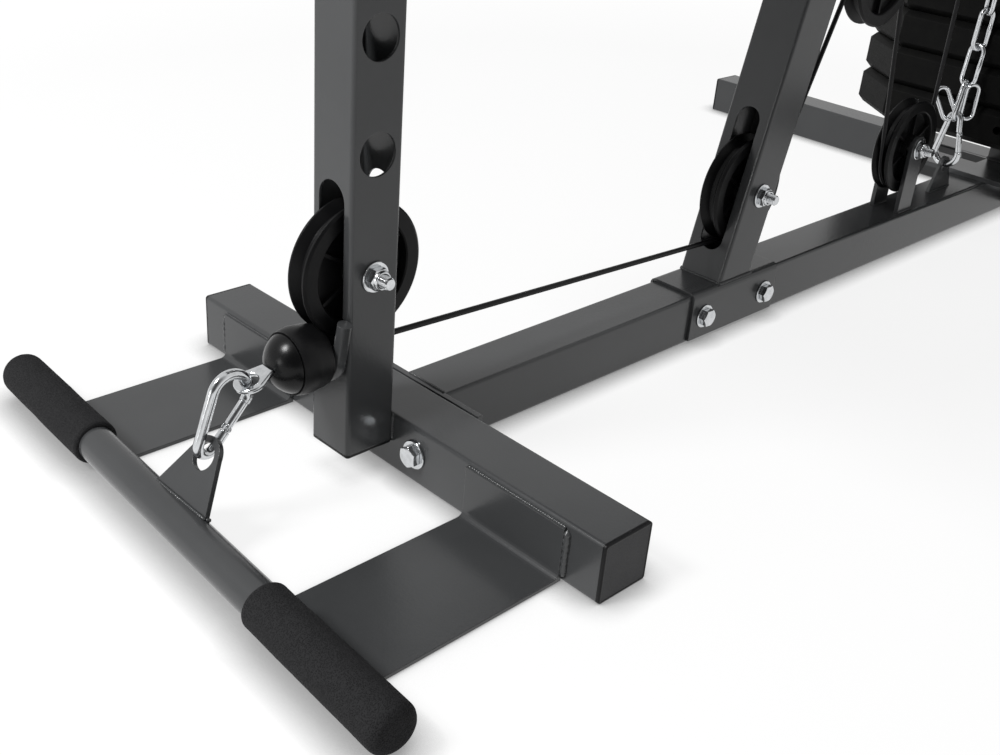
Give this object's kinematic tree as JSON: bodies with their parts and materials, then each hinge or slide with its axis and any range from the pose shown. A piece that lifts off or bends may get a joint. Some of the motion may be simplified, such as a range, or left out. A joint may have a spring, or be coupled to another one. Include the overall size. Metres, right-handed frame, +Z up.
{
  "type": "multi gym",
  "caption": "Steel multi gym with a low cable bar on foot plates, lat bar, press and butterfly arms, seat with foam rollers and a guided weight stack driven by cables over pulleys.",
  "frame": {"origin": "centre of the bounding box at floor level", "axes": "+Z up; +Y from the low cable bar towards the weight stack; +X to the right-hand side seen from the front, along the crossbars"},
  "size_m": [1.0838, 1.3751, 2.029],
  "materials": {
    "frame_paint": "glossy anthracite powder coat",
    "black_plastic": "matte black",
    "pulley_nylon": "satin black nylon",
    "zinc_steel": "bright zinc plating",
    "chromed_steel": "polished",
    "black_foam": "matte closed cell foam",
    "pad_vinyl": "black grained vinyl",
    "ball_plastic": "glossy black",
    "black_rubber": "matte black",
    "weight_shell": "semi-matte black shell",
    "cable_sheath": "black sheath over steel rope"
  },
  "bodies": {
    "frame": {"front_crossbar": "frame_paint", "end_caps": "black_plastic", "foot_plates": "frame_paint", "front_upright": "frame_paint", "ball_cradle": "frame_paint", "base_beam": "frame_paint", "saddle_bracket": "frame_paint", "main_upright": "frame_paint", "seat_tube": "frame_paint", "seat_pad": "pad_vinyl", "back_pad": "pad_vinyl", "roller_tube": "chromed_steel", "rear_crossbar": "frame_paint", "rear_upright": "frame_paint", "top_boom": "frame_paint", "guide_rods": "chromed_steel", "rod_brackets": "frame_paint", "rubber_buffers": "black_rubber", "resting_weight_plates": "weight_shell", "beam_brackets": "frame_paint", "frame_bolts": "zinc_steel", "anchor_chain": "zinc_steel", "frame_cables": "cable_sheath"},
    "stack": {"lifted_weight_plates": "weight_shell", "selector_stem": "chromed_steel", "stack_cable": "cable_sheath"},
    "pin": {"selector_pin": "zinc_steel"},
    "low_end": {"low_ball_stop": "ball_plastic", "low_eye": "zinc_steel", "low_cable_tail": "cable_sheath"},
    "low_handle": {"low_snap_hook": "zinc_steel", "low_bar": "frame_paint", "low_bar_grips": "black_foam"},
    "low_gate": {"low_hook_gate": "zinc_steel"},
    "low_wheel": {"low_pulley": "pulley_nylon"},
    "slot_wheel": {"slot_pulley": "pulley_nylon"},
    "base_wheel": {"base_pulley": "pulley_nylon"},
    "front_boom_wheel": {"front_boom_pulley": "pulley_nylon"},
    "rear_boom_wheel": {"rear_boom_pulley": "pulley_nylon"},
    "stack_wheel": {"stack_pulley": "pulley_nylon"},
    "press_wheel": {"press_pulley": "pulley_nylon"},
    "block": {"floating_block": "zinc_steel", "block_cables": "cable_sheath"},
    "upper_block_wheel": {"block_upper_pulley": "pulley_nylon"},
    "lower_block_wheel": {"block_lower_pulley": "pulley_nylon"},
    "lat_end": {"lat_ball_stop": "ball_plastic", "lat_snap_hook": "zinc_steel", "lat_cable_tail": "cable_sheath"},
    "lat_handle": {"lat_bar": "frame_paint", "lat_bar_grips": "black_foam"},
    "press": {"press_frame": "frame_paint"},
    "fork": {"fork_block": "zinc_steel", "fork_cables": "cable_sheath"},
    "fork_wheel": {"fork_pulley": "pulley_nylon"},
    "left_arm": {"left_butterfly_arm": "frame_paint", "left_arm_foam": "black_foam"},
    "right_arm": {"right_butterfly_arm": "frame_paint", "right_arm_foam": "black_foam"},
    "left_roller": {"left_foam_roller": "black_foam"},
    "right_roller": {"right_foam_roller": "black_foam"}
  },
  "joints": [
    {"name": "stack_lift", "type": "slide", "parent": "frame", "child": "stack", "axis": [0, 0, 1], "range_m": [0, 0.6], "deforming": ["stack_cable"]},
    {"name": "selector_pin_pull", "type": "slide", "parent": "stack", "child": "pin", "axis": [0.5, -0.866, 0], "range_m": [0, 0.12]},
    {"name": "low_cable_pull", "type": "slide", "parent": "frame", "child": "low_end", "axis": [0, -1, 0], "range_m": [0, 0.6], "deforming": ["low_cable_tail"]},
    {"name": "low_bar_swing", "type": "hinge", "parent": "low_end", "child": "low_handle", "pos_m": [0, -0.60363, 0.10209], "axis": [-1, 0, 0], "range_deg": [0, 90]},
    {"name": "low_hook_gate_swing", "type": "hinge", "parent": "low_handle", "child": "low_gate", "pos_m": [0, -0.6073, 0.07583], "axis": [1, 0, 0], "range_deg": [0, 18], "stiffness_Nm_per_rad": 0.05, "springref_deg": -11.46},
    {"name": "low_pulley_spin", "type": "hinge", "parent": "frame", "child": "low_wheel", "pos_m": [0, -0.49331, 0.1725], "axis": [1, 0, 0], "continuous": true},
    {"name": "slot_pulley_spin", "type": "hinge", "parent": "frame", "child": "slot_wheel", "pos_m": [0, -0.00276, 0.137], "axis": [1, 0, 0], "continuous": true},
    {"name": "base_pulley_spin", "type": "hinge", "parent": "frame", "child": "base_wheel", "pos_m": [0, 0.32619, 0.126], "axis": [1, 0, 0], "continuous": true},
    {"name": "front_boom_pulley_spin", "type": "hinge", "parent": "frame", "child": "front_boom_wheel", "pos_m": [0, -0.26081, 1.975], "axis": [1, 0, 0], "continuous": true},
    {"name": "rear_boom_pulley_spin", "type": "hinge", "parent": "frame", "child": "rear_boom_wheel", "pos_m": [0, 0.32419, 1.975], "axis": [1, 0, 0], "continuous": true},
    {"name": "stack_pulley_spin", "type": "hinge", "parent": "frame", "child": "stack_wheel", "pos_m": [0, 0.49639, 1.975], "axis": [1, 0, 0], "continuous": true},
    {"name": "press_pulley_spin", "type": "hinge", "parent": "frame", "child": "press_wheel", "pos_m": [0, 0.20602, 1.15], "axis": [1, 0, 0], "continuous": true},
    {"name": "block_drop", "type": "slide", "parent": "frame", "child": "block", "axis": [0, 0, -1], "range_m": [0, 0.3], "deforming": ["block_cables"]},
    {"name": "upper_block_pulley_spin", "type": "hinge", "parent": "block", "child": "upper_block_wheel", "pos_m": [0, 0.40919, 1.04], "axis": [1, 0, 0], "continuous": true},
    {"name": "lower_block_pulley_spin", "type": "hinge", "parent": "block", "child": "lower_block_wheel", "pos_m": [0, 0.40919, 0.9], "axis": [1, 0, 0], "continuous": true},
    {"name": "lat_cable_pull", "type": "slide", "parent": "frame", "child": "lat_end", "axis": [0, 0, -1], "range_m": [0, 0.34], "deforming": ["lat_cable_tail"]},
    {"name": "lat_bar_tilt", "type": "hinge", "parent": "lat_end", "child": "lat_handle", "pos_m": [0, -0.31061, 1.8046], "axis": [0, 1, 0], "range_deg": [-15, 15]},
    {"name": "press_swing", "type": "hinge", "parent": "frame", "child": "press", "pos_m": [0, 0.1453, 1.52], "axis": [-1, 0, 0], "range_deg": [0, 25]},
    {"name": "fork_lift", "type": "slide", "parent": "frame", "child": "fork", "axis": [0, 0.0885, 0.9961], "range_m": [0, 0.14], "deforming": ["fork_cables"]},
    {"name": "fork_pulley_spin", "type": "hinge", "parent": "fork", "child": "fork_wheel", "pos_m": [0, 0.18419, 0.333], "axis": [1, 0, 0], "continuous": true},
    {"name": "left_butterfly_swing", "type": "hinge", "parent": "press", "child": "left_arm", "pos_m": [-0.22, 0.1453, 1.44], "axis": [0, 0, 1], "range_deg": [0, 60]},
    {"name": "right_butterfly_swing", "type": "hinge", "parent": "press", "child": "right_arm", "pos_m": [0.22, 0.1453, 1.44], "axis": [0, 0, -1], "range_deg": [0, 60]},
    {"name": "left_foam_roller_spin", "type": "hinge", "parent": "frame", "child": "left_roller", "pos_m": [0, -0.49331, 0.504], "axis": [1, 0, 0], "continuous": true},
    {"name": "right_foam_roller_spin", "type": "hinge", "parent": "frame", "child": "right_roller", "pos_m": [0, -0.49331, 0.504], "axis": [1, 0, 0], "continuous": true}
  ],
  "couplings": [
    {"joint": "low_cable_pull", "follows": "stack_lift", "ratio": 1},
    {"joint": "block_drop", "follows": "stack_lift", "ratio": 0.5},
    {"joint": "slot_pulley_spin", "follows": "stack_lift", "rad_per_m": -20.08},
    {"joint": "fork_pulley_spin", "follows": "stack_lift", "rad_per_m": 20.08},
    {"joint": "base_pulley_spin", "follows": "stack_lift", "rad_per_m": -20.08},
    {"joint": "lower_block_pulley_spin", "follows": "stack_lift", "rad_per_m": 10.04},
    {"joint": "upper_block_pulley_spin", "follows": "stack_lift", "rad_per_m": -10.04},
    {"joint": "stack_pulley_spin", "follows": "stack_lift", "rad_per_m": 20.08},
    {"joint": "front_boom_pulley_spin", "follows": "lat_cable_pull", "rad_per_m": 20.08},
    {"joint": "rear_boom_pulley_spin", "follows": "lat_cable_pull", "rad_per_m": 20.08},
    {"joint": "fork_lift", "follows": "press_swing", "m_per_rad": 0.3181},
    {"joint": "press_pulley_spin", "follows": "press_swing", "ratio": 6.3876}
  ]
}
